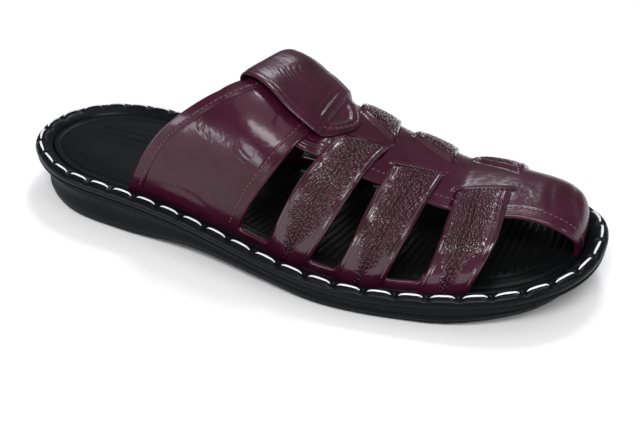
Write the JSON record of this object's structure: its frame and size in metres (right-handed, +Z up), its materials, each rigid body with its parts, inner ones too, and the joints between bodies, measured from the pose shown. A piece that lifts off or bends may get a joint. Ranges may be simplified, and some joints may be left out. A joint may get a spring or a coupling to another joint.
{
  "type": "slip-on sandal",
  "caption": "Maroon strappy slip-on sandal for the right foot, with woven cross straps and a black moulded sole",
  "frame": {"origin": "on the floor, under the middle of the box round the whole shoe", "axes": "+Y points to the toe, +X to the outer side of the foot, +Z up from the floor"},
  "size_m": [0.1038, 0.285, 0.0856],
  "materials": {
    "sole": "satin",
    "rim": "satin",
    "footbed": "satin",
    "upper_leather": "glossy",
    "loop_leather": "glossy"
  },
  "bodies": {
    "root": {"outsole": "sole", "rim": "rim", "insole": "footbed", "upper": "upper_leather", "instep_loop": "loop_leather"}
  },
  "joints": []
}
